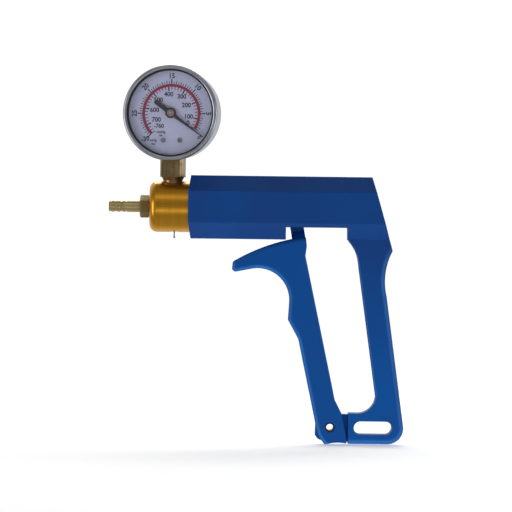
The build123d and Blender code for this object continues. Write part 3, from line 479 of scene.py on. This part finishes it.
def add_label(mesh, text, height, middle, turn=0.0):
    """Adds a word in the plain built-in face, centred on a point of the dial and turned about it."""
    curve = bpy.data.curves.new("label", "FONT")
    curve.body = text
    curve.align_x, curve.align_y = "CENTER", "CENTER"
    curve.size = height / NUMERAL_SHARE
    curve.offset = STROKE_SHARE * height
    curve.extrude = PRINT_THICK / 2
    curve.resolution_u = 3
    holder = bpy.data.objects.new("label", curve)
    bpy.context.collection.objects.link(holder)
    bpy.context.view_layer.update()
    flat = bpy.data.meshes.new_from_object(holder)
    bpy.data.objects.remove(holder)
    spin = Matrix.Rotation(radians(turn), 3, "Z")
    start = len(mesh.verts)
    mesh.from_mesh(flat)
    mesh.verts.ensure_lookup_table()
    for vertex in mesh.verts[start:]:
        moved = spin @ Vector((vertex.co.x * SQUEEZE, vertex.co.y, 0))
        forward = DIAL_FRONT + PRINT_LIFT + PRINT_THICK / 2 + vertex.co.z
        vertex.co = on_dial(middle[0] + moved.x, middle[1] + moved.y, forward)
    bpy.data.meshes.remove(flat)


def dial_print():
    """Two scales either side of a red band, their numerals and their units."""
    red = bmesh.new()
    for plate in range(BAND_PLATES):
        start = BAND_START + (BAND_END - BAND_START) * plate / BAND_PLATES
        end = BAND_START + (BAND_END - BAND_START) * (plate + 1) / BAND_PLATES
        add_plate(red, [polar(INNER_BAND, start), polar(OUTER_BAND, start), polar(OUTER_BAND, end),
                        polar(INNER_BAND, end)])
    black = bmesh.new()
    for half in range(2 * INCHES + 1):
        angle = SCALE_START + DEGREES_PER_INCH * half / 2
        if angle < BAND_START:
            continue
        if half % 10 == 0:
            add_tick(black, angle, *FIVE_INCH_TICK)
        elif half % 2 == 0:
            add_tick(black, angle, *INCH_TICK)
        else:
            add_tick(black, angle, *HALF_INCH_TICK)
    for mark in range(FIRST_MARK, LAST_MARK + 1):
        angle = MILLIMETRES_ZERO + DEGREES_PER_MILLIMETRE * MARK_EVERY * mark
        if mark % 5 == 0:
            add_tick(black, angle, *HUNDRED_TICK)
        else:
            add_tick(red, angle, *MARK_TICK)
    for inches in INCH_NUMERALS:
        angle = SCALE_START + DEGREES_PER_INCH * inches
        add_label(black, str(inches), INCH_HEIGHT, polar(INCH_RADIUS, angle), angle - 90)
    for value, radius, angle in MILLIMETRE_NUMERALS:
        add_label(black, str(value), MILLIMETRE_HEIGHT, polar(radius, angle))
    for text, height, middle, turn in SMALL_PRINT:
        add_label(black, text, height, middle, turn)
    add_label(black, "0", ZERO_HEIGHT, polar(ZERO_RADIUS, ZERO_ANGLE), ZERO_TURN)
    red_ink = printed("dial_red", (0.19, 0.012, 0.036), (0.27, 0.022, 0.055))
    black_ink = printed("dial_ink", (0.006, 0.007, 0.014), (0.016, 0.017, 0.028))
    printed_piece("dial_band", red, red_ink)
    printed_piece("dial_scale", black, black_ink)


dial_print()

# ---------------------------------------------------------------- stage, light and camera
# metres; the floor's glow and the backdrop are strengths of light
MIDDLE = 0.07
FLOOR_RADIUS, FLOOR_GAP, FLOOR_GLOW = 1.0, 0.0004, 0.42
BACKDROP = 1.05
WHITE = (1, 1, 1, 1)
CAMERA_TARGET = Vector((0.0758, 0.0, -0.0314))
CAMERA_DISTANCE = 2.6
CAMERA_ROLL = radians(0.7)
VIEW_WIDTH = 0.3328


def floor(bottom):
    """A pale light table that glows faintly: the soft box below shines through, metal doesn't mirror it."""
    bpy.ops.mesh.primitive_circle_add(vertices=96, radius=FLOOR_RADIUS, fill_type="NGON",
                                      location=(MIDDLE, 0, bottom))
    piece = bpy.context.object
    piece.name = "floor"
    n = Nodes("floor")
    tone = n.spread(n.noise(3, 2))
    colour = n.blend(tone, (0.88, 0.88, 0.885), (0.91, 0.91, 0.915))
    piece.data.materials.append(n.finish(Base_Color=colour, Roughness=0.7, Emission_Color=colour,
                                         Emission_Strength=FLOOR_GLOW))
    piece.visible_shadow = False
    piece.visible_glossy = False
    piece.visible_diffuse = False


def soft_box(name, place, aim, size, power, mirrored=True):
    """An area lamp at a place, facing its aim, in metres and watts, that the camera doesn't see."""
    light = bpy.data.lights.new(name, "AREA")
    light.shape = "RECTANGLE"
    light.size, light.size_y = size
    light.energy = power
    lamp = bpy.data.objects.new(name, light)
    bpy.context.collection.objects.link(lamp)
    lamp.location = place
    lamp.rotation_euler = (Vector(aim) - Vector(place)).to_track_quat("-Z", "Y").to_euler()
    lamp.visible_camera = False
    lamp.visible_glossy = mirrored


def world(front, back, under):
    """A white backdrop for the camera; what lights the object is dim in front and brighter behind.

    It is a little brighter below too, and this is also what metal mirrors."""
    background = bpy.data.worlds.new("studio")
    background.use_nodes = True
    tree = background.node_tree

    def add(kind, *inputs):
        node = tree.nodes.new("ShaderNode" + kind)
        for key, value in inputs:
            if isinstance(value, bpy.types.NodeSocket):
                tree.links.new(value, node.inputs[key])
            else:
                node.inputs[key].default_value = value
        return node

    split = add("SeparateXYZ", (0, add("TexCoord").outputs["Generated"]))
    behind = add("MapRange", ("Value", split.outputs["Y"]), ("From Min", 0.1), ("From Max", 0.75),
                 ("To Min", front), ("To Max", back))
    below = add("MapRange", ("Value", split.outputs["Z"]), ("From Min", -0.45), ("From Max", -1.0),
                ("To Min", 0.0), ("To Max", under))
    total = add("Math", (0, behind.outputs["Result"]), (1, below.outputs["Result"]))
    lit = add("Background", ("Color", WHITE), ("Strength", total.outputs[0]))
    plain = add("Background", ("Color", WHITE), ("Strength", BACKDROP))
    seen = add("MixShader", (0, add("LightPath").outputs["Is Camera Ray"]), (1, lit.outputs[0]),
               (2, plain.outputs[0]))
    tree.links.new(seen.outputs[0], tree.nodes["World Output"].inputs["Surface"])
    bpy.context.scene.world = background


def camera():
    """The photo's view, from straight in front, with its slight roll."""
    data = bpy.data.cameras.new("camera")
    data.sensor_width = 36
    data.lens = data.sensor_width * CAMERA_DISTANCE / VIEW_WIDTH
    data.clip_start, data.clip_end = 0.01, 50
    eye = bpy.data.objects.new("camera", data)
    bpy.context.collection.objects.link(eye)
    eye.matrix_world = (
        Matrix.Translation(CAMERA_TARGET + Vector((0, -CAMERA_DISTANCE, 0)))
        @ Matrix.Rotation(pi / 2, 4, "X")
        @ Matrix.Rotation(CAMERA_ROLL, 4, "Z")
    )
    bpy.context.scene.camera = eye


floor(CAD_BOX[0].z - FLOOR_GAP)
world(front=0.24, back=0.80, under=0.16)
soft_box("left", (-1.55, -0.75, -0.15), (MIDDLE, 0, -0.03), (0.8, 1.3), 8.0)
soft_box("right", (1.65, -0.75, -0.2), (MIDDLE, 0, -0.05), (0.7, 1.2), 6.5)
soft_box("above", (0.0, -1.05, 1.00), (0.05, 0, 0.0), (1.6, 0.45), 1.5)
soft_box("front", (MIDDLE, -1.45, -0.50), (MIDDLE, 0, -0.05), (1.3, 0.3), 1.5)
soft_box("low", (MIDDLE, -0.60, -1.3), (MIDDLE, 0, -0.05), (1.8, 1.0), 9.0, mirrored=False)
soft_box("behind", (0.2, 1.2, 1.1), (MIDDLE, 0.2, -0.15), (1.2, 0.8), 12)
camera()
bpy.context.scene.view_settings.view_transform = "Standard"
